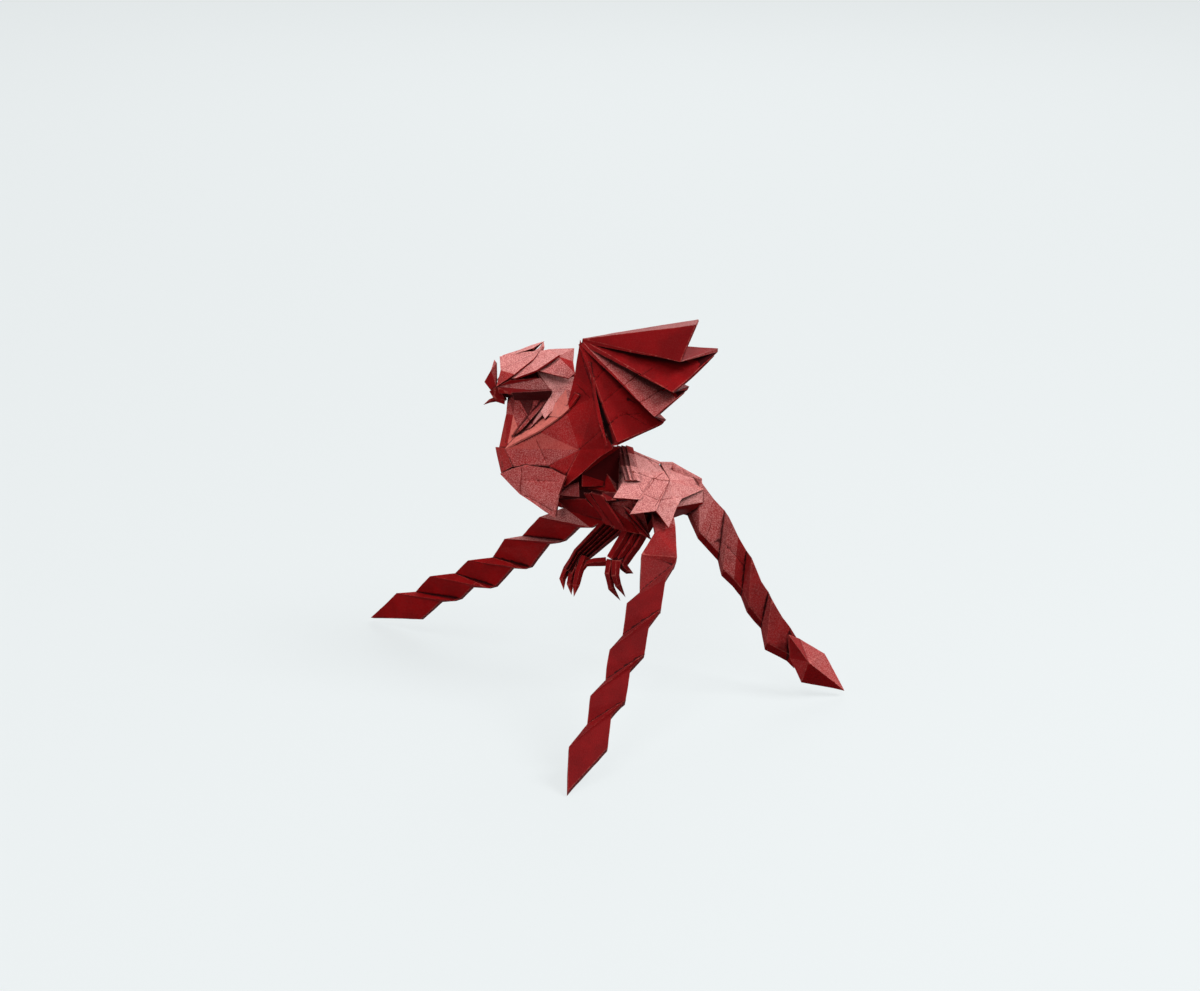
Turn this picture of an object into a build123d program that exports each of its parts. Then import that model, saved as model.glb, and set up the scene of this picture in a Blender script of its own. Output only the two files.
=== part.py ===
"""Origami phoenix folded from one sheet of red paper, standing on its three twisted tails.

Corners are read in a side view: (across, down, depth), in pixels of that view, with depth
growing away from the eye. The bird faces -X, and its mid-plane has depth zero.
"""
from build123d import *
import math
import os
from dataclasses import dataclass

# Driving length, in mm: tip of the front tail to tip of the rear tail, along the bird
TAIL_SPAN_LENGTH = 198.0

# The side view, in its own pixels: its middle, that same length, and how far its eye stands off
VIEW_CENTRE_PX = (600.0, 495.5)
TAIL_SPAN_LENGTH_PX = 472.0
EYE_DISTANCE_PX = 3313.0
MM_PER_PX = TAIL_SPAN_LENGTH / TAIL_SPAN_LENGTH_PX

# Thickness of the gathered layers
PANEL_THICKNESS_PX = 2.6      # broad panels
WING_THICKNESS_PX = 2.2       # wing pleats
FLAP_THICKNESS_PX = 2.1       # narrow flaps and folded rims
TAIL_THICKNESS_PX = 5.0       # twisted tails
TAIL_STEP_PX = 3.4            # how far a tail's ridges rise, and its valleys sink
THINNEST_LEAN_SHARE = 0.6     # limit on how far a sharp fold thickens the sheet


def at(across_px, down_px, depth_px):
    """Point of the bird under one place of the side view, at a depth from the mid-plane."""
    depth = depth_px * MM_PER_PX
    spread = MM_PER_PX * (1 + depth_px / EYE_DISTANCE_PX)
    return Vector(
        (across_px - VIEW_CENTRE_PX[0]) * spread,
        depth,
        (VIEW_CENTRE_PX[1] - down_px) * spread,
    )


def closed_solid(polygons):
    """Solid bounded by flat polygons that meet edge to edge."""
    faces = [Face(Wire.make_polygon(polygon, close=True)) for polygon in polygons]
    solid = Solid(Shell(faces))
    return solid if solid.volume > 0 else Solid(Shell([-face for face in faces]))


def aligned(triangles):
    """Triangles of a sheet turned so that neighbours run the same way round."""
    done = [triangles[0]]
    waiting = list(triangles[1:])
    while waiting:
        for triangle in waiting:
            a, b, c = triangle
            used = {edge for d in done for edge in ((d[0], d[1]), (d[1], d[2]), (d[2], d[0]))}
            edges = {(a, b), (b, c), (c, a)}
            if any((q, p) in used for p, q in edges):
                done.append(triangle)
                break
            if edges & used:
                done.append((a, c, b))
                break
        else:
            raise ValueError("the sheet's facets are not joined")
        waiting.remove(triangle)
    return done


def folded_sheet(corners, facets, thickness_px):
    """Closed sheet of one thickness, folded along the edges between its facets."""
    half = thickness_px * MM_PER_PX / 2
    triangles = []
    for facet in facets:
        triangles += [(facet[0], facet[i], facet[i + 1]) for i in range(1, len(facet) - 1)]
    triangles = aligned(triangles)
    points = {name: at(*corners[name]) for triangle in triangles for name in triangle}
    normals = {}
    around = {name: [] for name in points}
    for triangle in triangles:
        a, b, c = (points[name] for name in triangle)
        normals[triangle] = (b - a).cross(c - a).normalized()
        for name in triangle:
            around[name].append(normals[triangle])
    front, back = {}, {}
    for name, point in points.items():
        mean = sum(around[name], Vector(0, 0, 0)).normalized()
        lean = sum(mean.dot(normal) for normal in around[name]) / len(around[name])
        offset = mean * (half / max(lean, THINNEST_LEAN_SHARE))
        front[name], back[name] = point + offset, point - offset
    polygons = []
    edges = {(t[i], t[(i + 1) % 3]) for t in triangles for i in range(3)}
    for a, b, c in triangles:
        polygons.append([front[a], front[b], front[c]])
        polygons.append([back[c], back[b], back[a]])
    for p, q in edges:
        if (q, p) not in edges:
            polygons.append([front[q], front[p], back[p]])
            polygons.append([front[q], back[p], back[q]])
    return closed_solid(polygons)


def joined(pieces):
    """One shape from pieces that run into each other, added one at a time."""
    whole = pieces[0]
    for piece in pieces[1:]:
        whole = whole.fuse(piece)
    return whole


def spike(path_px, half_widths_px, half_depths_px):
    """Pointed flap along a path in the side view, four-sided, with its own width and depth."""
    rings = []
    for i, place in enumerate(path_px):
        before, after = path_px[max(i - 1, 0)], path_px[min(i + 1, len(path_px) - 1)]
        run = (after[0] - before[0], after[1] - before[1])
        length = math.hypot(*run)
        across, down = -run[1] / length, run[0] / length
        u, v, d = place
        w, h = half_widths_px[i], half_depths_px[i]
        if w == 0:
            rings.append([at(u, v, d)])
        else:
            rings.append([
                at(u + across * w, v + down * w, d),
                at(u, v, d - h),
                at(u - across * w, v - down * w, d),
                at(u, v, d + h),
            ])
    return ringed_solid(rings)


def ringed_solid(rings):
    """Solid with flat facets through rings of equally many points, or a point at an end."""
    polygons = []
    for one, two in zip(rings, rings[1:]):
        count = max(len(one), len(two))
        for i in range(count):
            j = (i + 1) % count
            if len(two) == 1:
                polygons.append([one[i], one[j], two[0]])
            elif len(one) == 1:
                polygons.append([one[0], two[j], two[i]])
            else:
                polygons.append([one[i], one[j], two[j]])
                polygons.append([one[i], two[j], two[i]])
    for end, turn in ((rings[0], -1), (rings[-1], 1)):
        hub = sum(end, Vector(0, 0, 0)) / len(end)
        for i in range(len(end)):
            if len(end) > 1:
                polygons.append([hub, end[i], end[(i + 1) % len(end)]][::turn])
    return closed_solid(polygons)


@dataclass
class Tail:
    """Flat flap twisted into a row of slanting faces.

    Each crossing is (one edge, other edge, lift): two places in the side view and how far the
    sheet stands out there, as a share of the tail's step.
    """

    crossings_px: tuple
    depths_px: tuple       # at the first crossing and at the tip
    under_px: tuple        # from the front of the flap to its back

    def corner(self, u, v):
        """Corner of the tail, at the depth that its place along the tail gives."""
        start, tip = self.crossings_px[0][0], self.crossings_px[-1][0]
        run = [tip[i] - start[i] for i in (0, 1)]
        along = ((u - start[0]) * run[0] + (v - start[1]) * run[1]) / (run[0] ** 2 + run[1] ** 2)
        return at(u, v, self.depths_px[0] + (self.depths_px[1] - self.depths_px[0]) * along)

    def tip(self):
        """Point of the tail."""
        return self.corner(*self.crossings_px[-1][0])

    def solid(self):
        """The twisted flap from the body to its tip."""
        (start, across, _), (tip, _, _) = self.crossings_px[0], self.crossings_px[-1]
        run = self.corner(*tip) - self.corner(*start)
        facing = run.cross(self.corner(*across) - self.corner(*start)).normalized()
        facing = -facing if facing.Y > 0 else facing
        rings = []
        for one, other, lift in self.crossings_px:
            out = facing * (lift * TAIL_STEP_PX * MM_PER_PX)
            deep = facing * (-TAIL_THICKNESS_PX * MM_PER_PX)
            front = [self.corner(*one) + out, self.corner(*other) + out]
            behind = [(u + self.under_px[0], v + self.under_px[1]) for u, v in (other, one)]
            rings.append(front + [self.corner(*place) + out + deep for place in behind])
        return ringed_solid(rings)


# Twisted tails: the front one on the far side, the middle one on the near side, the rear one
TAILS = (
    Tail((
        ((590, 492), (622, 518), -1), ((562, 509), (606, 521), -1.3), ((541, 516), (592, 526), 1),
        ((530, 527), (578, 527), 0.3),
        ((520, 537), (562, 541), -1), ((506, 538), (559, 541), 1), ((499, 548), (548, 543), 0.3),
        ((491, 558), (528, 568), -1),
        ((470, 559), (525, 568), 1), ((462, 566), (512, 568), 0.3), ((453, 574), (493, 587), -1),
        ((432, 575), (490, 587), 1),
        ((423, 583), (472, 587), 0.3), ((414, 592), (458, 600), -1), ((398, 592), (455, 600), 1),
        ((386, 604), (441, 601), 0.4),
        ((370, 618), (420, 619), -0.4),
    ), (14, 228), (0, 2)),
    Tail((
        ((652, 508), (672, 502), -0.8), ((655, 532), (675, 527), 0.2), ((641, 555), (677, 558), 0.4),
        ((641, 591), (675, 563), -1), ((626, 605), (675, 564), 1),
        ((624, 620), (666, 579), 0.3), ((623, 633), (662, 607), -1), ((609, 651), (660, 611), 1),
        ((607, 664), (649, 625), 0.3),
        ((606, 678), (645, 652), -1), ((590, 697), (644, 655), 1), ((589, 709), (630, 669), 0.3),
        ((588, 722), (626, 699), -1),
        ((568, 748), (625, 701), 1), ((568, 760), (611, 716), 0.5), ((568, 791), (608, 746), -0.4),
    ), (-22, -200), (0, 2)),
    Tail((
        ((678, 505), (672, 464), 0), ((690, 509), (694, 477), -1), ((699, 531), (699, 479), 1),
        ((710, 543), (714, 499), 0.3),
        ((720, 554), (725, 511), -1), ((723, 568), (728, 516), 1), ((734, 579), (738, 536), 0.3),
        ((743, 590), (747, 551), -1),
        ((748, 604), (751, 557), 1), ((756, 614), (761, 581), 0.3), ((763, 622), (769, 592), -1),
        ((766, 642), (771, 597), 1),
        ((777, 648), (783, 618), 0.4), ((789, 655), (791, 628), -1), ((796, 662), (799, 641), -0.6),
    ), (-6, 40), (-1, 8)),
)
TAIL_END_PX = {
    "ridge_top": (788, 635, 25), "ridge_mid": (807, 662, 24), "tip": (843, 690, 47),
    "upper": (798, 640, 38), "upper_far": (823, 654, 44), "lower": (791, 657, 36),
    "lower_far": (802, 681, 38),
}
TAIL_END_FACETS = (
    ("ridge_mid", "ridge_top", "upper"), ("ridge_mid", "upper", "upper_far"),
    ("ridge_mid", "upper_far", "tip"),
    ("ridge_mid", "tip", "lower_far"), ("ridge_mid", "lower_far", "lower"),
    ("ridge_mid", "lower", "ridge_top"),
)

# Wing pleats: a fan of knife pleats, each ridge standing in front of the valley under it
WING_HUB_PX = (578, 340, -38)
WING_HUB_SHARE = 0.04
WING_RIBS_PX = (
    (698, 320, -62), (696, 326, -84), (681, 361, -84), (718, 350, -58), (673, 393, -88),
    (688, 388, -60), (655, 417, -84), (665, 421, -58), (618, 443, -66), (611, 445, -40),
)

# Broad panels of the near side: corners, then facets by the corners' names
BREAST_PX = {
    "point": (506, 449, -9), "rim_mid": (540, 432, -24.5), "rim_rear": (567, 410, -37),
    "shoulder": (575, 375, -37), "hub": (580, 340, -33), "pleat": (597, 396, -43),
    "crease_top": (606, 433, -50), "crease": (580, 450, -43), "crease_low": (548, 466, -28),
    "low_mid": (527, 465, -18.5), "low_front": (513, 467, -12),
    "rear": (613, 449, -50), "hem_rear": (600, 457, -47), "hem_mid": (582, 473, -40),
    "hem_tip": (561, 490, -30), "notch": (566, 476, -33),
}
BREAST_FACETS = (
    ("crease", "crease_low", "low_mid"), ("crease", "low_mid", "low_front"),
    ("crease", "low_front", "point"),
    ("crease", "point", "rim_mid"), ("crease", "rim_mid", "rim_rear"), ("crease", "rim_rear", "pleat"),
    ("crease", "pleat", "crease_top"), ("crease", "crease_top", "rear"), ("crease", "rear", "hem_rear"),
    ("crease", "hem_rear", "hem_mid"), ("crease", "hem_mid", "hem_tip"), ("crease", "hem_tip", "notch"),
    ("crease", "notch", "crease_low"), ("rim_rear", "shoulder", "pleat"), ("shoulder", "hub", "pleat"),
)
RIM_OUTER_PX = (
    (506, 449, -10), (520, 441, -19), (540, 431, -28), (560, 418, -37), (570, 409, -41), (580, 395, -44),
)
RIM_INNER_PX = (
    (509, 444, -2), (519, 434, -6), (533, 425, -12), (547, 416, -17), (557, 402, -22), (567, 390, -27),
)
CHEST_PX = {
    "keel_top": (501, 474, -4), "top_front": (513, 469, -11.5), "top_mid": (527, 465, -19.8),
    "top_rear": (552, 469, -34), "corner": (566, 476, -41), "rear": (559, 495, -39),
    "tip": (555, 517, -37.5), "keel_low": (545, 511, -31.5), "keel_mid": (520, 494, -16.5),
    "fold": (524, 479, -18.2),
}
CHEST_FACETS = (
    ("fold", "keel_mid", "keel_top"), ("fold", "keel_top", "top_front"), ("fold", "top_front", "top_mid"),
    ("fold", "top_mid", "top_rear"), ("fold", "top_rear", "corner"), ("fold", "corner", "rear"),
    ("fold", "rear", "tip"), ("fold", "tip", "keel_low"), ("fold", "keel_low", "keel_mid"),
)

# Gathered body, as rings of (across, top, shoulder, flank, keel) with the depths of the two
BODY_RINGS_PX = (
    (502, 452, 456, 466, 473, 5, 5),
    (528, 440, 450, 474, 497, 15, 15),
    (562, 424, 442, 486, 508, 30, 24),
    (598, 446, 458, 490, 508, 28, 21),
    (618, 462, 474, 494, 512, 12, 21),
    (634, 458, 472, 506, 528, 20, 29),
    (660, 465, 476, 510, 522, 28, 32),
    (703, 484, 490, 502, 508, 8, 8),
)


def body():
    """Body between the breast and the tail roots, six-sided and closed at both ends."""
    rings = []
    for across, top, shoulder, flank, keel, shoulder_depth, flank_depth in BODY_RINGS_PX:
        rings.append([
            at(across, top, 0),
            at(across, shoulder, -shoulder_depth),
            at(across, flank, -flank_depth),
            at(across, keel, 0),
            at(across, flank, flank_depth),
            at(across, shoulder, shoulder_depth),
        ])
    return ringed_solid(rings)


def wing():
    """Fan of knife pleats from the wing's hub."""
    corners = {}
    for i, rib in enumerate(WING_RIBS_PX):
        corners["tip", i] = rib
        corners["root", i] = tuple(h + WING_HUB_SHARE * (r - h) for h, r in zip(WING_HUB_PX, rib))
    facets = [
        (("root", i), ("tip", i), ("tip", i + 1), ("root", i + 1))
        for i in range(len(WING_RIBS_PX) - 1)
    ]
    return folded_sheet(corners, facets, WING_THICKNESS_PX)


def strip(one_edge, other_edge, thickness):
    """Folded strip between two edges of equally many corners."""
    corners = {(0, i): p for i, p in enumerate(one_edge)} | {(1, i): p for i, p in enumerate(other_edge)}
    facets = [((0, i), (0, i + 1), (1, i + 1), (1, i)) for i in range(len(one_edge) - 1)]
    return folded_sheet(corners, facets, thickness)


def panel(corners_px, thickness):
    """Small flap through a few corners, folded from its first corner."""
    return folded_sheet(dict(enumerate(corners_px)), [tuple(range(len(corners_px)))], thickness)


# Small flaps of the near side
SIDE_FLAPS_PX = (
    # front of the breast, under the neck
    ((496, 447, 0), (506, 448, -9), (513, 467, -13), (502, 473, -2)),
    # narrow pleats between the breast and the wing
    ((589, 362, -46), (599, 425, -58), (606, 446, -62), (603, 430, -44), (594, 380, -38)),
    # dark panels under the hem, each with its lower edge turned out
    ((582, 474, -35), (609, 446, -36), (619, 447, -29), (618, 486, -14), (582, 486, -31)),
    ((560, 488, -28), (579, 482, -30), (579, 497, -34), (559, 495, -31)),
    ((557, 499, -26), (586, 499, -28), (606, 519, -20), (570, 511, -20)),
    # thigh
    ((584, 493, -29), (590, 493, -34), (614, 525, -25), (606, 523, -18)),
    ((591, 492, -35), (602, 495, -41), (626, 530, -28), (613, 527, -22)),
    ((602, 493, -36), (618, 492, -36), (616, 500, -38), (606, 501, -40)),
    ((606, 503, -32), (640, 498, -30), (650, 536, -16), (626, 531, -22)),
    ((616, 500, -28), (632, 512, -31), (652, 540, -19), (640, 533, -24)),
)
BACK_PLATES_PX = (
    ((631, 469, -25), (613, 498, -39), (641, 500, -39), (653, 479, -29), (660, 463, 2), (632, 451, 2)),
    ((653, 478, -32), (630, 514, -42), (656, 511, -42), (669, 481, -32), (663, 472, -20)),
    ((669, 481, -29), (655, 510, -40), (668, 528, -37), (677, 506, -32), (681, 499, -27),
     (702, 490, -9), (701, 479, 2), (672, 463, 2), (660, 463, 2)),
)
HUMP_COUNT = 3
HUMP_STEP_PX = 4.4
HUMP_TUCK_PX = 7.0
HUMP_SHARE = 0.86
HUMP_EDGE_PX = ((617, 446, 0), (617, 447, -12), (618, 453, -25), (621, 466, -32), (625, 480, -36))

# Neck and head
NECK_RINGS_PX = (
    ((508, 392, 0), (516, 393, -7), (536, 393, -10), (556, 388, -8), (566, 376, 0)),
    ((506, 414, 0), (513, 415, -6), (528, 416, -9), (553, 412, -9), (574, 404, 0)),
    ((498, 451, 0), (506, 451, -5), (524, 448, -8), (556, 440, -11), (590, 430, 0)),
)
NECK_PLEATS_PX = (
    ((543, 398, -4), (514, 430, -3), (510, 440, 0), (518, 431, -13), (548, 399, -16)),
    ((549, 397, -9), (523, 430, -7), (530, 428, -14), (543, 415, -18), (553, 398, -16)),
)
HEAD_FLAPS_PX = (
    # skull side, brow, rear flap and the pale side of the neck, each over the next
    ((501, 371, -10), (497, 387, -12), (515, 375, -20), (533, 360, -15), (540, 351, -8),
     (520, 353, -4), (500, 357, -4)),
    ((528, 362, -11), (512, 379, -15), (516, 379, -19), (536, 371, -24), (560, 355.5, -18),
     (548, 350, -8), (540, 351, -7)),
    ((558, 357, -12), (548, 350, 1), (574, 349, 1), (573, 362, -11), (575, 374, -18), (569, 379, -21),
     (536, 370, -17)),
    ((553, 393, -19), (540, 379, -10), (536, 370, -6), (569, 377, -8), (579, 378, -9),
     (576, 393, -18), (564, 399, -21), (545, 419, -24), (541, 411, -21)),
    # cheek, turned down over its dark underside
    ((498, 387, -11), (510, 380, -16), (540, 378, -21), (553, 392, -27), (512, 394, -21),
     (500, 393, -10)),
    ((512, 391.5, -25.5), (552, 390, -31), (549, 399, -17), (514, 399, -11)),
    ((497, 386, -8), (503, 393, -10), (506, 400, -4), (494, 398, -2), (490, 391, -2)),
    # forehead comb
    ((491, 370, -1), (484.5, 381.5, -1), (493, 393, -3), (496.5, 387, -4), (497, 363, -1),
     (494.5, 359.5, -1)),
)
HEAD_RINGS_PX = (
    ((497, 379, 0), (498, 382, -7), (498, 390, -7), (500, 397, 0)),
    ((516, 356, 0), (514, 374, -13), (514, 391, -14), (513, 398, 0)),
    ((545, 350, 0), (540, 370, -5), (545, 389, -12), (545, 398, 0)),
    ((570, 350, 0), (569, 372, -4), (562, 388, -10), (560, 396, 0)),
)
BEAK_PX = ((505, 400, 0), (496, 399, 0), (490, 401, 0), (483.5, 405, 0))
BEAK_HALF_PX = ((4.5, 2.8, 1.9, 0), (4.0, 3.0, 2.0, 0))
CREST_PX = (
    ((503, 357, 0), (521, 352, 0), (533, 348, 0), (545, 341, 0)),
    ((536, 353, -4), (541, 350, -4), (543, 346, -4), (544, 341, -3)),
)
CREST_HALF_PX = (((1.6, 2.6, 3.4, 0), (3.0, 6.0, 6.0, 0)), ((3.0, 3.0, 2.0, 0), (4.0, 4.0, 3.0, 0)))

# Legs: pleats side by side, then toes
FAR_LEG_PX = ((626, 514), (600, 537), (581, 555), (570, 572))
FAR_LEG_PLEATS = 5
FAR_LEG_FAN_PX = (4.6, 2.6)
FAR_LEG_DEPTH_PX = 12.0
FAR_TOES_PX = (
    ((576, 556, 16), (567, 569, 18), (562.5, 579, 18), (563.5, 590, 17)),
    ((580, 556, 12), (573, 571, 12), (570, 584, 12), (571, 595, 11)),
    ((585, 556, 8), (579, 572, 7), (576, 585, 6), (573.5, 597, 5)),
    ((606, 561, 2), (594, 562, 4), (585, 564, 7), (578, 578, 9)),
)
NEAR_LEG_PX = ((646, 512), (629, 543), (616, 562))
NEAR_LEG_PLEATS = 3
NEAR_LEG_FAN_PX = (8.0, 6.5)
NEAR_LEG_DEPTH_PX = -14.0
NEAR_TOES_PX = (
    ((611, 559, -14), (608, 573, -18), (611, 588, -18), (620.5, 601, -14)),
    ((616, 560, -18), (615, 575, -22), (618, 585, -22), (625.5, 597.5, -19)),
    ((620, 560, -14), (624, 567, -13), (628, 571, -12), (633.5, 573.5, -10)),
)
TOE_HALF_WIDTH_PX = (4.6, 4.2, 3.4, 0)
TOE_HALF_DEPTH_PX = (3.6, 3.6, 2.6, 0)
PLEAT_HALF_DEPTH_PX = 4.5
PLEAT_WIDTH_SHARE = 0.75
PLEAT_SPREAD_PX = -2.0


def leg(path_px, pleats, fan_px, depth_px):
    """Leg gathered from narrow pleats that lie side by side along one path."""
    out = []
    for k in range(pleats):
        place = k - (pleats - 1) / 2
        shifted = []
        for i, (u, v) in enumerate(path_px):
            part = i / (len(path_px) - 1)
            fan = fan_px[0] + (fan_px[1] - fan_px[0]) * part
            before, after = path_px[max(i - 1, 0)], path_px[min(i + 1, len(path_px) - 1)]
            run = (after[0] - before[0], after[1] - before[1])
            length = math.hypot(*run)
            shifted.append((
                u - run[1] / length * fan * place,
                v + run[0] / length * fan * place,
                depth_px + PLEAT_SPREAD_PX * place,
            ))
        widths = [
            PLEAT_WIDTH_SHARE * (fan_px[0] + (fan_px[1] - fan_px[0]) * i / (len(shifted) - 1))
            for i in range(len(shifted))
        ]
        out.append(spike(shifted, widths, [PLEAT_HALF_DEPTH_PX] * len(shifted)))
    return out


def near_side():
    """Every piece of the near side that the far side repeats."""
    out = [
        wing(),
        folded_sheet(BREAST_PX, BREAST_FACETS, PANEL_THICKNESS_PX),
        folded_sheet(CHEST_PX, CHEST_FACETS, PANEL_THICKNESS_PX),
        strip(RIM_OUTER_PX, RIM_INNER_PX, FLAP_THICKNESS_PX),
    ]
    out += [panel(flap, FLAP_THICKNESS_PX) for flap in SIDE_FLAPS_PX]
    out += [panel(plate, PANEL_THICKNESS_PX) for plate in BACK_PLATES_PX]
    out += [panel(flap, FLAP_THICKNESS_PX) for flap in NECK_PLEATS_PX + HEAD_FLAPS_PX]
    for k in range(HUMP_COUNT):
        edge = [(u + k * HUMP_STEP_PX, v, d) for u, v, d in HUMP_EDGE_PX]
        tuck = [(u + HUMP_TUCK_PX, v + HUMP_STEP_PX / 2, d * HUMP_SHARE) for u, v, d in edge]
        out.append(strip(edge, tuck, FLAP_THICKNESS_PX))
    return out


def mirrored_rings(half_rings):
    """Rings closed over the mid-plane from the corners of their near half."""
    out = []
    for half in half_rings:
        near = [at(*corner) for corner in half]
        far = [at(u, v, -d) for u, v, d in half[-2:0:-1]]
        out.append(near + far)
    return out


def phoenix():
    """The whole folded sheet, in the side view's frame."""
    near = joined(near_side())
    pieces = [body()]
    pieces += [ringed_solid(mirrored_rings(rings)) for rings in (NECK_RINGS_PX, HEAD_RINGS_PX)]
    pieces += [near, near.mirror(Plane.XZ)]
    pieces.append(spike(BEAK_PX, *BEAK_HALF_PX))
    pieces += [spike(path, *half) for path, half in zip(CREST_PX, CREST_HALF_PX)]
    pieces.append(joined(
        leg(FAR_LEG_PX, FAR_LEG_PLEATS, FAR_LEG_FAN_PX, FAR_LEG_DEPTH_PX)
        + [spike(toe, TOE_HALF_WIDTH_PX, TOE_HALF_DEPTH_PX) for toe in FAR_TOES_PX]
    ))
    pieces.append(joined(
        leg(NEAR_LEG_PX, NEAR_LEG_PLEATS, NEAR_LEG_FAN_PX, NEAR_LEG_DEPTH_PX)
        + [spike(toe, TOE_HALF_WIDTH_PX, TOE_HALF_DEPTH_PX) for toe in NEAR_TOES_PX]
    ))
    pieces += [tail.solid() for tail in TAILS]
    pieces.append(folded_sheet(TAIL_END_PX, TAIL_END_FACETS, TAIL_THICKNESS_PX))
    return joined(pieces)


def set_down(shape):
    """Stand the bird on the three tail tips, centred over the origin."""
    tips = [TAILS[0].tip(), TAILS[1].tip(), at(*TAIL_END_PX["tip"])]
    up = (tips[1] - tips[0]).cross(tips[2] - tips[0]).normalized()
    up = up if up.Z > 0 else -up
    ground = Plane(origin=tips[1], x_dir=Vector(1, 0, -up.X / up.Z), z_dir=up)
    stood = ground.to_local_coords(shape)
    box = stood.bounding_box()
    return Pos(-box.center().X, -box.center().Y, -box.min.Z) * stood


if __name__ == "__main__":
    os.makedirs("parts", exist_ok=True)
    export_step(set_down(phoenix()), "parts/folded_phoenix.step")
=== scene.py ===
"""Looks of a folded paper phoenix: one sheet of deep red paper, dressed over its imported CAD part."""

from __future__ import annotations

import logging
import math
from dataclasses import dataclass
from enum import Enum

import bmesh
import bpy
from mathutils import Matrix, Vector, noise
from mathutils.bvhtree import BVHTree

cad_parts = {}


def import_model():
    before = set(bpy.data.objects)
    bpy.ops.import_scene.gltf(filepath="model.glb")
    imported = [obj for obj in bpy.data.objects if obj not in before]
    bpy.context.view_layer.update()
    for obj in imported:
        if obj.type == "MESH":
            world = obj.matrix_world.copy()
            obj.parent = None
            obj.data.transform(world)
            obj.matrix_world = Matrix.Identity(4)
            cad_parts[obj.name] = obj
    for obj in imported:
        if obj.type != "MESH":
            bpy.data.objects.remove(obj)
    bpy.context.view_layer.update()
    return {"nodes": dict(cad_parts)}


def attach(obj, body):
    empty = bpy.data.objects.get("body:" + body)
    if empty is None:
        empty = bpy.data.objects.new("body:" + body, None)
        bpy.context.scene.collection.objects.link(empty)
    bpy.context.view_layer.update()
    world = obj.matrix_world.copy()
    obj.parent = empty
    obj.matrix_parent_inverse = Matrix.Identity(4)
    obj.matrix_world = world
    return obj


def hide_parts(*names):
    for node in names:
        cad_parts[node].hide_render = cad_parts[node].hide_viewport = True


LOG = logging.getLogger("phoenix")
MM = 0.001

# Sockets of the colour mixing node, by number
MIX_SHARE, MIX_UNDER, MIX_OVER, MIX_RESULT = 0, 6, 7, 2

Place = tuple[float, float, float]
Pixel = tuple[float, float]


class Mark(Enum):
    """Named marks on the paper's points or its facets, for the finish to read: wear, creases, painted
    highlight and painted shade.
    """

    # worn fold edges, partly a painted highlight
    WEAR_AND_HIGHLIGHT = "fold_wear_and_highlight"
    # painted shade in hollows and valleys
    PAINTED_HOLLOW_SHADE = "painted_hollow_shade"
    CREASE = "pressed_crease"
    # painted highlight
    FADE = "painted_highlight"
    # painted highlight along the collar's rim
    RIM_HIGHLIGHT = "painted_rim_highlight"
    # painted shadow
    PAINTED_SHADOW = "painted_shadow"


POINT_MARKS = (Mark.WEAR_AND_HIGHLIGHT, Mark.PAINTED_HOLLOW_SHADE, Mark.CREASE)
FACET_MARKS = (Mark.FADE, Mark.RIM_HIGHLIGHT, Mark.PAINTED_SHADOW)


class Fold(Enum):
    """Ways in which two neighbouring faces of the sheet meet."""

    FLAT = "flat"
    MOUNTAIN = "mountain"
    VALLEY = "valley"


def linear(code: str) -> tuple[float, float, float, float]:
    """Turn an sRGB hex colour into linear values.

    Args:
        code: Six hex digits.

    Returns:
        Red, green, blue and an alpha of 1.
    """
    channels = [int(code[i:i + 2], 16) / 255 for i in (0, 2, 4)]
    values = [c / 12.92 if c <= 0.04045 else ((c + 0.055) / 1.055) ** 2.4 for c in channels]
    return values[0], values[1], values[2], 1.0


def add_node(tree: bpy.types.NodeTree, kind: str, settings: dict | None = None,
             inputs: dict | None = None) -> bpy.types.Node:
    """Add a node with its settings and inputs.

    Args:
        tree: The node tree that gets the node.
        kind: The node's type name.
        settings: Attributes to set on the node.
        inputs: Values or sockets for its inputs, by name or number.

    Returns:
        The new node.
    """
    node = tree.nodes.new(kind)
    for name, value in (settings or {}).items():
        setattr(node, name, value)
    for key, value in (inputs or {}).items():
        if isinstance(value, bpy.types.NodeSocket):
            tree.links.new(value, node.inputs[key])
        else:
            node.inputs[key].default_value = value
    return node


def combine(tree: bpy.types.NodeTree, operation: str, *values: bpy.types.NodeSocket | float,
            clamp: bool = False) -> bpy.types.NodeSocket:
    """Join values by one sum.

    Args:
        tree: The node tree that gets the node.
        operation: The sum's name.
        values: Its sockets or numbers, in order.
        clamp: Whether the result is kept between 0 and 1.

    Returns:
        The result's socket.
    """
    settings = {"operation": operation, "use_clamp": clamp}
    return add_node(tree, "ShaderNodeMath", settings, dict(enumerate(values))).outputs[0]


def blend(tree: bpy.types.NodeTree, share: bpy.types.NodeSocket, under: bpy.types.NodeSocket | str,
          over: str, kind: str = "MIX") -> bpy.types.NodeSocket:
    """Lay a colour over another.

    Args:
        tree: The node tree that gets the node.
        share: How much of the upper colour shows.
        under: The lower colour, as a socket or hex code.
        over: The upper colour's hex code.
        kind: How the two are mixed.

    Returns:
        The mixed colour's socket.
    """
    lower = linear(under) if isinstance(under, str) else under
    node = add_node(tree, "ShaderNodeMix", {"data_type": "RGBA", "blend_type": kind}, {
        MIX_SHARE: share, MIX_UNDER: lower, MIX_OVER: linear(over)})
    return node.outputs[MIX_RESULT]


def blank_material(name: str) -> tuple[bpy.types.Material, bpy.types.NodeTree]:
    """Make a material whose node tree is empty.

    Args:
        name: The material's name.

    Returns:
        The material and its tree.
    """
    material = bpy.data.materials.new(name)
    material.use_nodes = True
    material.node_tree.nodes.clear()
    return material, material.node_tree


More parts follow.
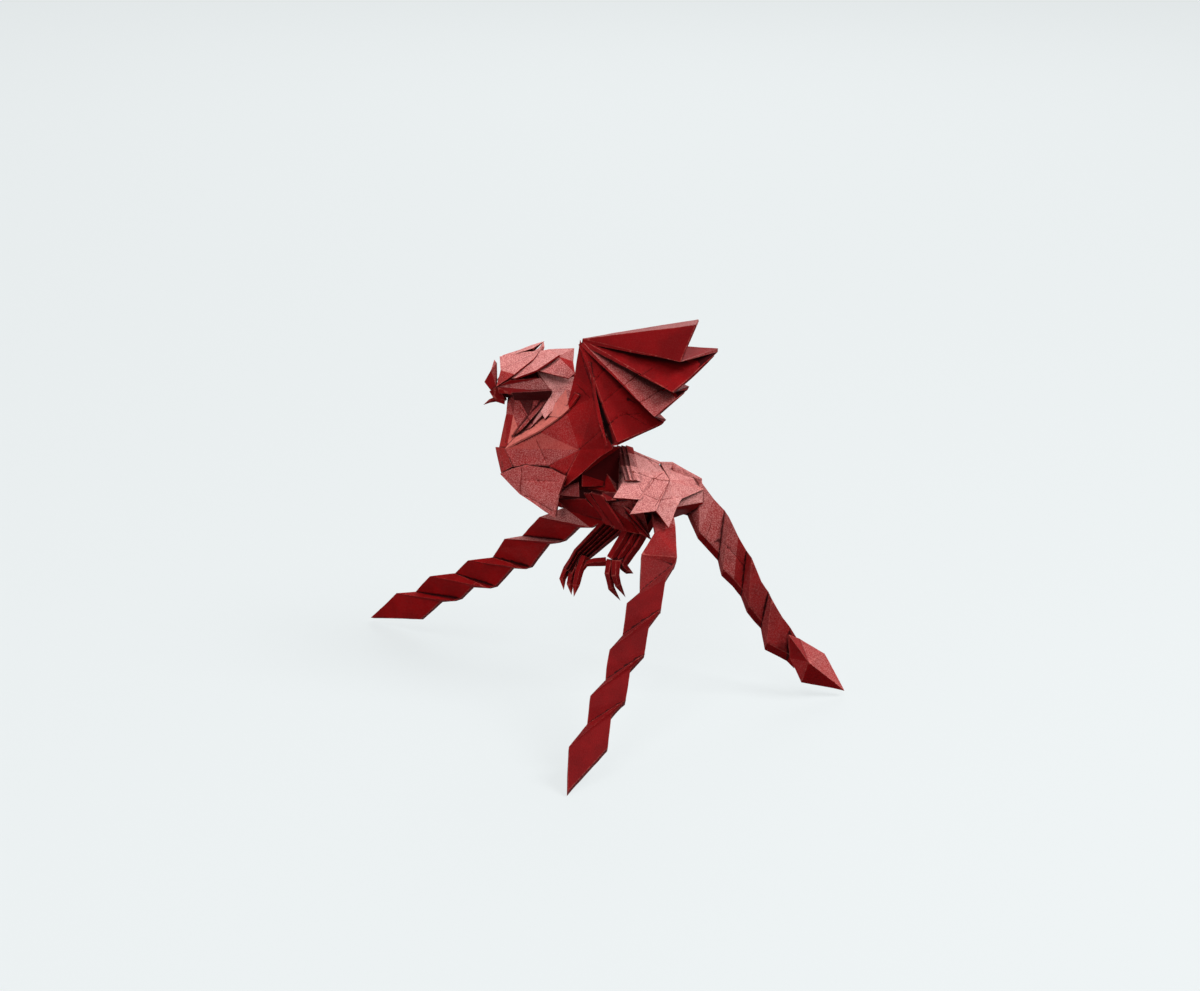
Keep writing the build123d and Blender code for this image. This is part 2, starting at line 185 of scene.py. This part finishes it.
def seen_straight(tree: bpy.types.NodeTree) -> bpy.types.NodeSocket:
    """Tell the rays that show the background from those that light the object.

    Args:
        tree: The node tree that gets the nodes.

    Returns:
        A socket that is 1 for camera, glossy and transmission rays, and 0 for the rest.
    """
    path = add_node(tree, "ShaderNodeLightPath").outputs
    direct = combine(tree, "MAXIMUM", path["Is Camera Ray"], path["Is Glossy Ray"])
    return combine(tree, "MAXIMUM", direct, path["Is Transmission Ray"])


def show(thing: bpy.types.Object) -> bpy.types.Object:
    """Put an object into the scene.

    Args:
        thing: The new object.

    Returns:
        The same object.
    """
    bpy.context.scene.collection.objects.link(thing)
    return thing


@dataclass(frozen=True)
class Ease:
    """A smooth step between two results, as a value goes from low to high."""

    low: float
    high: float
    most: float = 1.0
    least: float = 0.0

    def apply(self, tree: bpy.types.NodeTree, value: bpy.types.NodeSocket) -> bpy.types.NodeSocket:
        """Ease a value.

        Args:
            tree: The node tree that gets the node.
            value: The socket to ease.

        Returns:
            The eased value's socket.
        """
        node = add_node(tree, "ShaderNodeMapRange", {"interpolation_type": "SMOOTHSTEP"}, {
            "Value": value, "From Min": self.low, "From Max": self.high,
            "To Min": self.least, "To Max": self.most})
        return node.outputs["Result"]


@dataclass(frozen=True)
class Cloud:
    """A noise pattern that stays fixed to the object."""

    size_mm: float
    detail: float
    roughness: float
    distortion: float = 0.0

    def value(self, tree: bpy.types.NodeTree, place: bpy.types.NodeSocket) -> bpy.types.NodeSocket:
        """Make the pattern.

        Args:
            tree: The node tree that gets the node.
            place: The object's own coordinates.

        Returns:
            The pattern's socket.
        """
        node = add_node(tree, "ShaderNodeTexNoise", None, {
            "Vector": place, "Scale": 1 / (self.size_mm * MM), "Detail": self.detail,
            "Roughness": self.roughness, "Distortion": self.distortion})
        return node.outputs["Fac"]


@dataclass(frozen=True)
class RedPaper:
    """Dyed long-fibre craft paper, sized and burnished: deep matt red, with a painted highlight on some
    facets, painted shade in hollows and worn fold edges.
    """

    name: str = "dyed_long_fibre_paper"
    deep: str = "8A0408"
    body: str = "A2080D"
    fleck: str = "CE7470"
    # Pale pink of the painted highlight
    pale: str = "EAA6A1"
    # Worn fold edges with a painted highlight, and the painted rim highlight
    worn_and_highlight: str = "EC8074"
    crease: str = "903A30"
    # Dark red of the painted shade in hollows and of the painted shadow
    painted_shade: str = "240104"
    # Grain of the felt side, its longer fibres, and the dye's uneven depth
    grain: Cloud = Cloud(0.42, 2.0, 0.6)
    fibre: Cloud = Cloud(2.4, 5.0, 0.7, 1.2)
    mottle: Cloud = Cloud(11.0, 3.0, 0.55)
    dye: Ease = Ease(0.32, 0.68)
    # Pale fibre tips: where they stand, and how the painted highlight lifts them
    tips: Ease = Ease(0.46, 0.62)
    tips_lift: float = 2.8
    tips_least: float = 0.05
    patches: Ease = Ease(0.30, 0.62, 1.0, 0.62)
    grained: Ease = Ease(0.38, 0.60, 1.0, 0.55)
    # Painted shade in hollows, which the painted highlight lessens
    shade_ease: Ease = Ease(0.26, 0.80, 0.95)
    tuck_bare: float = 1.12
    pressed: Ease = Ease(0.6, 1.0, 0.95)
    # Worn edges with a painted highlight, broken up along the fold
    edge: Ease = Ease(0.62, 1.0)
    broken: Ease = Ease(0.38, 0.62, 0.30, 0.02)
    matt: Ease = Ease(0.3, 0.7, 0.66, 0.52)
    ior: float = 1.5
    specular: float = 0.06
    sheen: float = 0.02
    sheen_roughness: float = 0.5
    bump_mm: float = 0.16
    bump_strength: float = 0.8
    fibre_relief: float = 0.8

    def material(self) -> bpy.types.Material:
        """Build the node material.

        Returns:
            The paper's material.
        """
        material, tree = blank_material(self.name)
        place = add_node(tree, "ShaderNodeTexCoord").outputs["Object"]
        grain, fibre = self.grain.value(tree, place), self.fibre.value(tree, place)
        relief = combine(tree, "MULTIPLY_ADD", fibre, self.fibre_relief, grain)
        bump = add_node(tree, "ShaderNodeBump", None, {
            "Strength": self.bump_strength, "Distance": self.bump_mm * MM, "Height": relief})
        skin = add_node(tree, "ShaderNodeBsdfPrincipled", None, {
            "Base Color": self.colour(tree, place, grain, fibre), "Roughness": self.matt.apply(tree, grain),
            "IOR": self.ior, "Specular IOR Level": self.specular, "Sheen Weight": self.sheen,
            "Sheen Roughness": self.sheen_roughness, "Normal": bump.outputs["Normal"]})
        add_node(tree, "ShaderNodeOutputMaterial", None, {"Surface": skin.outputs[0]})
        return material

    def colour(self, tree: bpy.types.NodeTree, place: bpy.types.NodeSocket, grain: bpy.types.NodeSocket,
               fibre: bpy.types.NodeSocket) -> bpy.types.NodeSocket:
        """Lay the paper's colours over each other, guided by its marks.

        Args:
            tree: The material's node tree.
            place: The object's own coordinates.
            grain: The grain's pattern.
            fibre: The fibres' pattern.

        Returns:
            The colour's socket.
        """
        marks = {mark: add_node(tree, "ShaderNodeAttribute", {"attribute_name": mark.value}).outputs["Fac"]
                 for mark in Mark}
        highlit = marks[Mark.FADE]
        colour = blend(tree, self.dye.apply(tree, self.mottle.value(tree, place)), self.deep, self.body)
        # Pale tips of the fibres stand out more under the painted highlight
        lifted = combine(tree, "MULTIPLY_ADD", highlit, self.tips_lift, self.tips_least, clamp=True)
        flecks = combine(tree, "MULTIPLY", self.tips.apply(tree, grain), lifted)
        colour = blend(tree, flecks, colour, self.fleck)
        patchy = self.patches.apply(tree, fibre)
        # Painted highlight: pale pink laid over the facets marked for it, broken up by the fibres and grain
        highlight_share = combine(tree, "MULTIPLY", highlit, patchy, clamp=True)
        highlight_share = combine(tree, "MULTIPLY", highlight_share, self.grained.apply(tree, grain), clamp=True)
        colour = blend(tree, highlight_share, colour, self.pale)
        # Painted highlight along the collar's rim, which faces up
        rim_highlight = combine(tree, "MULTIPLY", marks[Mark.RIM_HIGHLIGHT], patchy, clamp=True)
        colour = blend(tree, rim_highlight, colour, self.worn_and_highlight)
        # Painted shade in hollows and valleys, less under the painted highlight, and painted shadow on the
        # marked facets
        bare = combine(tree, "SUBTRACT", self.tuck_bare, highlit, clamp=True)
        shaded = combine(tree, "MULTIPLY", self.shade_ease.apply(tree, marks[Mark.PAINTED_HOLLOW_SHADE]), bare)
        colour = blend(tree, combine(tree, "MAXIMUM", shaded, marks[Mark.PAINTED_SHADOW]), colour, self.painted_shade)
        pressed = self.pressed.apply(tree, marks[Mark.CREASE])
        colour = blend(tree, pressed, colour, self.crease, "MULTIPLY")
        # Worn mountain folds, lighter partly from wear and partly as a painted highlight
        edge = combine(tree, "MULTIPLY", self.edge.apply(tree, marks[Mark.WEAR_AND_HIGHLIGHT]),
                       self.broken.apply(tree, fibre))
        return blend(tree, edge, colour, self.worn_and_highlight)


@dataclass(frozen=True)
class PaleFloor:
    """Matt white card: seen pale, and giving back only a little light so that undersides stay deep."""

    name: str = "matt_white_card"
    seen: str = "EAEFF0"
    lit: str = "454545"
    # Share of the pale background that is the same all over, the rest showing light and shadow
    evenness: float = 0.87

    def material(self) -> bpy.types.Material:
        """Build the node material.

        Returns:
            The floor's material.
        """
        material, tree = blank_material(self.name)
        shade = add_node(tree, "ShaderNodeBsdfDiffuse", None, {"Color": linear(self.seen)})
        glow = add_node(tree, "ShaderNodeEmission", None, {"Color": linear(self.seen), "Strength": 1.0})
        seen = add_node(tree, "ShaderNodeMixShader", None, {
            0: self.evenness, 1: shade.outputs[0], 2: glow.outputs[0]})
        lit = add_node(tree, "ShaderNodeBsdfDiffuse", None, {"Color": linear(self.lit)})
        mixed = add_node(tree, "ShaderNodeMixShader", None, {
            0: seen_straight(tree), 1: lit.outputs[0], 2: seen.outputs[0]})
        add_node(tree, "ShaderNodeOutputMaterial", None, {"Surface": mixed.outputs[0]})
        return material


@dataclass(frozen=True)
class Sight:
    """The photograph's view: where a point of the object falls in the picture, in its pixels."""

    eye_mm: Place = (-1.3, -1296.1, 530.6)
    view: Place = (0.0, 0.9475, -0.3197)
    upward: Place = (-0.0107, 0.3197, 0.9475)
    focal_px: float = 3313.0
    centre_px: Pixel = (600.0, 495.5)

    def eye(self) -> Vector:
        """Place the eye.

        Returns:
            Its place, in metres.
        """
        return Vector(self.eye_mm) * MM

    def turn(self) -> Matrix:
        """Turn the picture into space.

        Returns:
            The rotation whose columns are the picture's right, up and back.
        """
        back = -Vector(self.view).normalized()
        right = Vector(self.upward).cross(back).normalized()
        return Matrix((right, back.cross(right), back)).transposed()

    def pixels(self, points: list[Vector]) -> list[Vector]:
        """Find where points fall in the picture.

        Args:
            points: Places on the object, in metres.

        Returns:
            One pixel place each.
        """
        eye = self.eye()
        to_view = self.turn().transposed()
        out = []
        for point in points:
            seen = to_view @ (point - eye)
            out.append(Vector((self.centre_px[0] - self.focal_px * seen.x / seen.z,
                               self.centre_px[1] + self.focal_px * seen.y / seen.z)))
        return out

    def ray(self, pixel: Pixel) -> Vector:
        """Find the direction in which a pixel looks.

        Args:
            pixel: A place in the picture.

        Returns:
            The direction, not of unit length.
        """
        across = (pixel[0] - self.centre_px[0]) / self.focal_px
        rise = (self.centre_px[1] - pixel[1]) / self.focal_px
        return self.turn() @ Vector((across, rise, -1.0))


@dataclass(frozen=True)
class Crease:
    """A line pressed across the paper, through pixels of the photograph."""

    path_px: tuple[Pixel, ...]
    half_width_px: float = 5.0
    sink_mm: float = 0.24

    def crosses(self, first: Pixel, last: Pixel, pixel: Vector) -> bool:
        """Tell whether a face's pixel lies by one run of the path.

        Args:
            first: The run's first pixel.
            last: The run's last pixel.
            pixel: The face's place in the picture.

        Returns:
            True where the run passes the face.
        """
        across, down = last[0] - first[0], last[1] - first[1]
        away_x, away_y = pixel.x - first[0], pixel.y - first[1]
        length = math.hypot(across, down)
        if abs(away_x * down - away_y * across) > self.half_width_px * length:
            return False
        return 0.0 <= away_x * across + away_y * down <= length * length


@dataclass(frozen=True)
class Spot:
    """A patch of paper around a pixel of the photograph, where a mark is strong."""

    mark: Mark
    centre_px: Pixel
    radius_px: Pixel
    strength: float
    turn_deg: float = 0.0
    # Outer share of the radius in which the mark fades out
    soft_share: float = 0.45

    def value(self, pixel: Vector) -> float:
        """Give the mark's strength at a pixel.

        Args:
            pixel: The place in the picture.

        Returns:
            The strength, falling smoothly to 0 at the patch's edge.
        """
        turn = math.radians(self.turn_deg)
        away = pixel - Vector(self.centre_px)
        along = away.x * math.cos(turn) + away.y * math.sin(turn)
        across = away.y * math.cos(turn) - away.x * math.sin(turn)
        reach = min(1.0, math.hypot(along / self.radius_px[0], across / self.radius_px[1]))
        near = min(1.0, (1.0 - reach) / self.soft_share)
        return self.strength * near * near * (3 - 2 * near)


CREASES = (
    # breast
    Crease(((640, 413), (620, 415), (600, 431), (580, 449), (548, 466))),
    Crease(((536, 440), (548, 466))),
    # chest
    Crease(((522, 467), (520, 494))),
    Crease(((524, 480), (558, 481))),
    Crease(((524, 495), (552, 510))),
    # wing, across its pleats
    Crease(((594, 382), (612, 360))),
    Crease(((600, 405), (640, 372))),
    Crease(((640, 402), (668, 386))),
    Crease(((606, 428), (624, 412), (646, 424))),
    Crease(((628, 382), (652, 368))),
    # back plates
    Crease(((632, 471), (643, 493))),
    Crease(((632, 471), (652, 478), (669, 481))),
    Crease(((656, 478), (637, 500))),
    Crease(((669, 481), (655, 507))),
    Crease(((641, 452), (661, 472))),
    Crease(((663, 472), (655, 478))),
    Crease(((644, 494), (660, 500), (680, 497))),
    Crease(((661, 463), (669, 481))),
    # wing's front edge and neck
    Crease(((577, 385), (590, 398))),
    Crease(((520, 407), (532, 424))),
    # tails
    Crease(((712, 520), (704, 548))),
    Crease(((724, 543), (745, 566))),
)

SPOTS = (
    # painted highlight on back plates, rump and rear tail
    Spot(Mark.FADE, (654, 483), (46, 42), 0.95),
    Spot(Mark.FADE, (688, 490), (34, 34), 0.50),
    Spot(Mark.FADE, (712, 528), (36, 60), 0.34),
    Spot(Mark.FADE, (770, 610), (60, 60), 0.08),
    Spot(Mark.FADE, (818, 668), (30, 34), 0.20),
    # painted highlight on head, nape and neck
    Spot(Mark.FADE, (535, 357), (52, 20), 0.75, -14),
    Spot(Mark.FADE, (555, 391), (18, 33), 1.0, 20),
    Spot(Mark.FADE, (522, 414), (26, 24), 0.16),
    # painted highlight on chest and breast
    Spot(Mark.FADE, (532, 488), (50, 44), 0.18, 30),
    Spot(Mark.FADE, (545, 446), (60, 36), 0.055, -25),
    # painted highlight on wing pleats that face up, and on its upper edges
    Spot(Mark.FADE, (645, 390), (50, 22), 0.26, 35),
    Spot(Mark.FADE, (698, 348), (36, 16), 0.24),
    Spot(Mark.FADE, (648, 331), (70, 7), 0.30, -9),
    # painted highlight on tail roots
    Spot(Mark.FADE, (538, 525), (50, 32), 0.48, -20),
    Spot(Mark.FADE, (655, 555), (30, 40), 0.04),
    # painted highlight along the collar's rim
    Spot(Mark.RIM_HIGHLIGHT, (520, 438), (26, 10), 0.95, -32),
    Spot(Mark.RIM_HIGHLIGHT, (548, 420), (28, 11), 0.95, -38),
    Spot(Mark.RIM_HIGHLIGHT, (562, 406), (13, 7), 0.80, -50),
    # painted shadow on humps, hem panels and legs
    Spot(Mark.PAINTED_SHADOW, (621, 462), (14, 28), 0.85),
    Spot(Mark.PAINTED_SHADOW, (571, 490), (16, 13), 0.62),
    Spot(Mark.PAINTED_SHADOW, (599, 490), (30, 9), 0.92),
    Spot(Mark.PAINTED_SHADOW, (604, 500), (18, 9), 0.60),
    Spot(Mark.PAINTED_SHADOW, (598, 472), (26, 24), 0.10),
    Spot(Mark.PAINTED_SHADOW, (578, 505), (24, 14), 0.45),
    Spot(Mark.PAINTED_SHADOW, (625, 520), (30, 18), 0.40),
    Spot(Mark.PAINTED_SHADOW, (600, 560), (56, 50), 0.40),
    # painted shadow on cheek with its underside, and on the beak
    Spot(Mark.PAINTED_SHADOW, (526, 386), (34, 11), 0.50),
    Spot(Mark.PAINTED_SHADOW, (532, 396), (30, 8), 0.90),
    Spot(Mark.PAINTED_SHADOW, (491, 390), (14, 26), 0.40),
    # painted shade on tails and the wing's face, to darken them
    Spot(Mark.PAINTED_SHADOW, (612, 670), (80, 190), 0.50, 20),
    Spot(Mark.PAINTED_SHADOW, (765, 600), (80, 90), 0.30, 50),
    Spot(Mark.PAINTED_SHADOW, (650, 345), (110, 50), 0.42),
    Spot(Mark.PAINTED_SHADOW, (625, 405), (50, 60), 0.35),
    Spot(Mark.PAINTED_SHADOW, (586, 375), (16, 50), 0.38),
)


@dataclass(frozen=True)
class FoldedPhoenix:
    """The folded sheet: the CAD form divided finely, its facets gently buckled and its folds marked."""

    sight: Sight
    node: str = "folded_phoenix"
    slot: str = "red_paper"
    body: str = "root"
    merge: float = 0.004 * MM
    flat_angle: float = math.radians(0.5)
    longest_edge: float = 1.85 * MM
    passes: int = 8
    fold_angle: float = math.radians(18)
    crease_snap: float = 0.05 * MM
    # Broad buckles and fine ripples of the paper: how far they move it, and how wide they are
    buckle_seed: int = 5
    buckle: float = 0.30 * MM
    buckle_size: float = 16 * MM
    ripple: float = 0.10 * MM
    ripple_size: float = 5 * MM
    ripple_shift: Place = (7.0, 3.0, 5.0)
    # Rays that feel for paper around a point, for the painted shade in hollows
    hollow_reach: float = 14 * MM
    hollow_rays: int = 14
    hollow_lift: float = 0.15 * MM
    hollow_gain: float = 1.4
    valley_share: float = 0.60
    # Facets that face up get more of the painted highlight
    highlight_from: float = 0.25
    highlight_span: float = 0.5
    highlight_spread: float = 0.35

    def build(self, source: bpy.types.Object, finish: RedPaper) -> bpy.types.Object:
        """Make the dressed piece that stands for the CAD node.

        Args:
            source: The CAD node's object, which is only copied.
            finish: The paper's finish.

        Returns:
            The dressed object.
        """
        bm = bmesh.new()
        bm.from_mesh(source.data)
        self.merge_facets(bm)
        self.mark_facets(bm)
        self.divide(bm)
        for mark in POINT_MARKS:
            bm.verts.layers.float.new(mark.value)
        self.mark_folds(bm)
        self.press_creases(bm)
        self.paint_hollow_shade(bm)
        self.crumple(bm)
        mesh = bpy.data.meshes.new("folded_paper")
        bm.to_mesh(mesh)
        bm.free()
        mesh.polygons.foreach_set("use_smooth", [True] * len(mesh.polygons))
        mesh.set_sharp_from_angle(angle=self.fold_angle)
        piece = show(bpy.data.objects.new("folded_paper", mesh))
        mesh.materials.append(finish.material())
        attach(piece, self.body)
        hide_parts(self.node)
        LOG.info("folded paper: %d faces", len(mesh.polygons))
        return piece

    def merge_facets(self, bm: bmesh.types.BMesh) -> None:
        """Merge the CAD triangles into whole facets.

        Args:
            bm: The CAD form's triangles.
        """
        bmesh.ops.remove_doubles(bm, verts=bm.verts, dist=self.merge)
        bmesh.ops.dissolve_degenerate(bm, edges=bm.edges, dist=self.merge)
        bmesh.ops.dissolve_limit(bm, angle_limit=self.flat_angle, verts=bm.verts, edges=bm.edges,
                                 use_dissolve_boundaries=False)
        bm.normal_update()

    def mark_facets(self, bm: bmesh.types.BMesh) -> None:
        """Mark whole facets with painted highlight, painted rim highlight or painted shadow, by where they
        lie and which way they face.

        Args:
            bm: The facets, not yet divided.
        """
        layers = {mark: bm.faces.layers.float.new(mark.value) for mark in FACET_MARKS}
        faces = list(bm.faces)
        places = [f.calc_center_median() for f in faces]
        for face, place, pixel in zip(faces, places, self.sight.pixels(places)):
            # Painted highlight on what faces up, each facet a little differently
            facing = min(1.0, max(0.0, (face.normal.z + self.highlight_from) / self.highlight_span))
            uneven = 1.0 + self.highlight_spread * noise.noise(place / self.buckle_size)
            for spot in SPOTS:
                value = spot.value(pixel)
                if spot.mark is Mark.FADE:
                    value *= facing * uneven
                face[layers[spot.mark]] = max(face[layers[spot.mark]], value)

    def divide(self, bm: bmesh.types.BMesh) -> None:
        """Divide the facets finely.

        Args:
            bm: The facets.
        """
        bmesh.ops.triangulate(bm, faces=bm.faces, quad_method="BEAUTY", ngon_method="BEAUTY")
        for _ in range(self.passes):
            long_edges = [e for e in bm.edges if e.calc_length() > self.longest_edge]
            if not long_edges:
                break
            bmesh.ops.subdivide_edges(bm, edges=long_edges, cuts=1)
            bmesh.ops.triangulate(bm, faces=[f for f in bm.faces if len(f.verts) > 3])
        bm.normal_update()
        bm.verts.index_update()

    def fold_kind(self, edge: bmesh.types.BMEdge) -> Fold:
        """Tell how the faces beside an edge meet.

        Args:
            edge: An edge of the divided sheet.

        Returns:
            The kind of fold.
        """
        if len(edge.link_faces) != 2:
            return Fold.FLAT
        angle = edge.calc_face_angle_signed(0.0)
        if abs(angle) < self.fold_angle:
            return Fold.FLAT
        return Fold.MOUNTAIN if angle > 0 else Fold.VALLEY

    def mark_folds(self, bm: bmesh.types.BMesh) -> None:
        """Mark the points on mountain folds, for worn edges with a painted highlight, and in valleys, for
        painted shade.

        Args:
            bm: The divided sheet.
        """
        layers = {Fold.MOUNTAIN: bm.verts.layers.float[Mark.WEAR_AND_HIGHLIGHT.value],
                  Fold.VALLEY: bm.verts.layers.float[Mark.PAINTED_HOLLOW_SHADE.value]}
        for edge in bm.edges:
            kind = self.fold_kind(edge)
            if kind is not Fold.FLAT:
                for vert in edge.verts:
                    vert[layers[kind]] = 1.0

    def press_creases(self, bm: bmesh.types.BMesh) -> None:
        """Cut the creases into the faces that they cross, and sink their lines a little.

        Args:
            bm: The divided sheet.
        """
        faces = list(bm.faces)
        seen = dict(zip(faces, self.sight.pixels([f.calc_center_median() for f in faces])))
        for crease in CREASES:
            for first, last in zip(crease.path_px, crease.path_px[1:]):
                crossed = [face for face, pixel in seen.items()
                           if crease.crosses(first, last, pixel) and face.is_valid]
                # Dictionaries keep their order from run to run, where sets don't
                edges = dict.fromkeys(e for f in crossed for e in f.edges)
                verts = dict.fromkeys(v for f in crossed for v in f.verts)
                side = self.sight.ray(first).cross(self.sight.ray(last)).normalized()
                cut = bmesh.ops.bisect_plane(bm, geom=[*crossed, *edges, *verts], dist=self.crease_snap,
                                             plane_co=self.sight.eye(), plane_no=side)
                line = [g for g in cut["geom_cut"] if isinstance(g, bmesh.types.BMVert)]
                beside = dict.fromkeys(f for v in line for f in v.link_faces)
                made = bmesh.ops.triangulate(bm, faces=[f for f in beside if len(f.verts) > 3])["faces"]
                seen.update(zip(made, self.sight.pixels([f.calc_center_median() for f in made])))
                self.sink_line(bm, line, crease.sink_mm * MM)
        bm.normal_update()
        bm.verts.index_update()

    def sink_line(self, bm: bmesh.types.BMesh, line: list[bmesh.types.BMVert], depth: float) -> None:
        """Mark a crease's points and sink those that aren't on a fold.

        Args:
            bm: The divided sheet.
            line: The points along the crease.
            depth: How far they sink, in metres.
        """
        layer = bm.verts.layers.float[Mark.CREASE.value]
        for vert in line:
            vert.normal_update()
            on_fold = any(self.fold_kind(e) is not Fold.FLAT for e in vert.link_edges)
            if vert[layer] < 1.0 and not on_fold:
                vert[layer] = 1.0
                vert.co -= vert.normal * depth

    def paint_hollow_shade(self, bm: bmesh.types.BMesh) -> None:
        """Mark how far each point lies in a pleat, by feeling for paper around it, for painted shade.

        Args:
            bm: The divided sheet.
        """
        layer = bm.verts.layers.float[Mark.PAINTED_HOLLOW_SHADE.value]
        tree = BVHTree.FromBMesh(bm)
        golden_turn = math.pi * (3 - math.sqrt(5))
        feelers = []
        for i in range(self.hollow_rays):
            rise = math.sqrt((i + 0.5) / self.hollow_rays)
            side = math.sqrt(1 - rise * rise)
            turn = golden_turn * i
            feelers.append(Vector((side * math.cos(turn), side * math.sin(turn), rise)))
        for vert in bm.verts:
            start = vert.co + vert.normal * self.hollow_lift
            basis = vert.normal.to_track_quat("Z", "Y")
            found = 0.0
            for feeler in feelers:
                distance = tree.ray_cast(start, basis @ feeler, self.hollow_reach)[3]
                if distance is not None:
                    found += 1 - distance / self.hollow_reach
            felt = found / self.hollow_rays * self.hollow_gain
            vert[layer] = min(1.0, felt + self.valley_share * vert[layer])

    def crumple(self, bm: bmesh.types.BMesh) -> None:
        """Buckle the facets gently, moving both sides of the sheet together.

        Args:
            bm: The divided sheet.
        """
        noise.seed_set(self.buckle_seed)
        for vert in bm.verts:
            broad = noise.noise_vector(vert.co / self.buckle_size)
            fine = noise.noise_vector(vert.co / self.ripple_size + Vector(self.ripple_shift))
            vert.co = vert.co + broad * self.buckle + fine * self.ripple
            vert.co.z = max(vert.co.z, 0.0)
        bm.normal_update()


@dataclass(frozen=True)
class Softbox:
    """A square soft lamp, with its place and side in metres and its power in watts."""

    name: str
    place: Place
    side: float
    power: float
    aim: Place = (0.0, 0.0, 0.08)

    def hang(self) -> bpy.types.Object:
        """Put the lamp into the scene.

        Returns:
            The lamp's object.
        """
        data = bpy.data.lights.new(self.name, "AREA")
        data.shape = "SQUARE"
        data.size = self.side
        data.energy = self.power
        lamp = show(bpy.data.objects.new(self.name, data))
        lamp.location = self.place
        towards = Vector(self.aim) - Vector(self.place)
        lamp.rotation_euler = towards.to_track_quat("-Z", "Y").to_euler()
        return lamp


SOFTBOXES = (
    Softbox("softbox_right", (0.80, -0.25, 1.10), 0.6, 15.0),
    Softbox("softbox_front", (-0.20, -0.60, 1.25), 0.6, 6.5),
    Softbox("softbox_left", (-1.25, -0.95, 0.30), 0.9, 10.0),
    Softbox("softbox_back", (0.10, 1.40, 0.90), 0.9, 9.0),
)


@dataclass(frozen=True)
class Studio:
    """Pale floor, soft light from all sides and the camera at the photograph's angle."""

    sight: Sight
    lens: float = 99.4
    sensor_width: float = 36.0
    clip_end: float = 100.0
    floor_size: float = 14.0
    world_light: float = 0.13
    world_lit: str = "FFFFFF"
    world_seen: str = "EEF1F2"

    def camera(self) -> bpy.types.Object:
        """Set the camera.

        Returns:
            The camera's object.
        """
        data = bpy.data.cameras.new("camera")
        data.lens = self.lens
        data.sensor_fit = "HORIZONTAL"
        data.sensor_width = self.sensor_width
        data.clip_end = self.clip_end
        camera = show(bpy.data.objects.new("camera", data))
        camera.matrix_world = Matrix.Translation(self.sight.eye()) @ self.sight.turn().to_4x4()
        bpy.context.scene.camera = camera
        return camera

    def floor(self, finish: PaleFloor) -> bpy.types.Object:
        """Lay the floor.

        Args:
            finish: The floor's finish.

        Returns:
            The floor's object.
        """
        bm = bmesh.new()
        bmesh.ops.create_grid(bm, x_segments=1, y_segments=1, size=self.floor_size / 2)
        mesh = bpy.data.meshes.new("floor")
        bm.to_mesh(mesh)
        bm.free()
        floor = show(bpy.data.objects.new("floor", mesh))
        mesh.materials.append(finish.material())
        return floor

    def world(self) -> None:
        """Set a plain soft world light that the camera sees as pale grey."""
        world = bpy.data.worlds.new("studio")
        world.use_nodes = True
        tree = world.node_tree
        tree.nodes.clear()
        light = add_node(tree, "ShaderNodeBackground", None, {
            "Color": linear(self.world_lit), "Strength": self.world_light})
        seen = add_node(tree, "ShaderNodeBackground", None, {
            "Color": linear(self.world_seen), "Strength": 1.0})
        mixed = add_node(tree, "ShaderNodeMixShader", None, {
            0: seen_straight(tree), 1: light.outputs[0], 2: seen.outputs[0]})
        add_node(tree, "ShaderNodeOutputWorld", None, {"Surface": mixed.outputs[0]})
        bpy.context.scene.world = world

    def build(self) -> None:
        """Set up the whole studio."""
        bpy.context.scene.view_settings.view_transform = "Standard"
        self.camera()
        for softbox in SOFTBOXES:
            softbox.hang()
        self.floor(PaleFloor())
        self.world()
        LOG.info("studio set")


def main() -> None:
    """Load the frame, dress the folded sheet and set the studio."""
    logging.basicConfig(level=logging.INFO, format="%(name)s: %(message)s")
    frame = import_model()
    sight = Sight()
    phoenix = FoldedPhoenix(sight)
    phoenix.build(frame["nodes"][phoenix.node], RedPaper())
    Studio(sight).build()


if __name__ == "__main__":
    main()
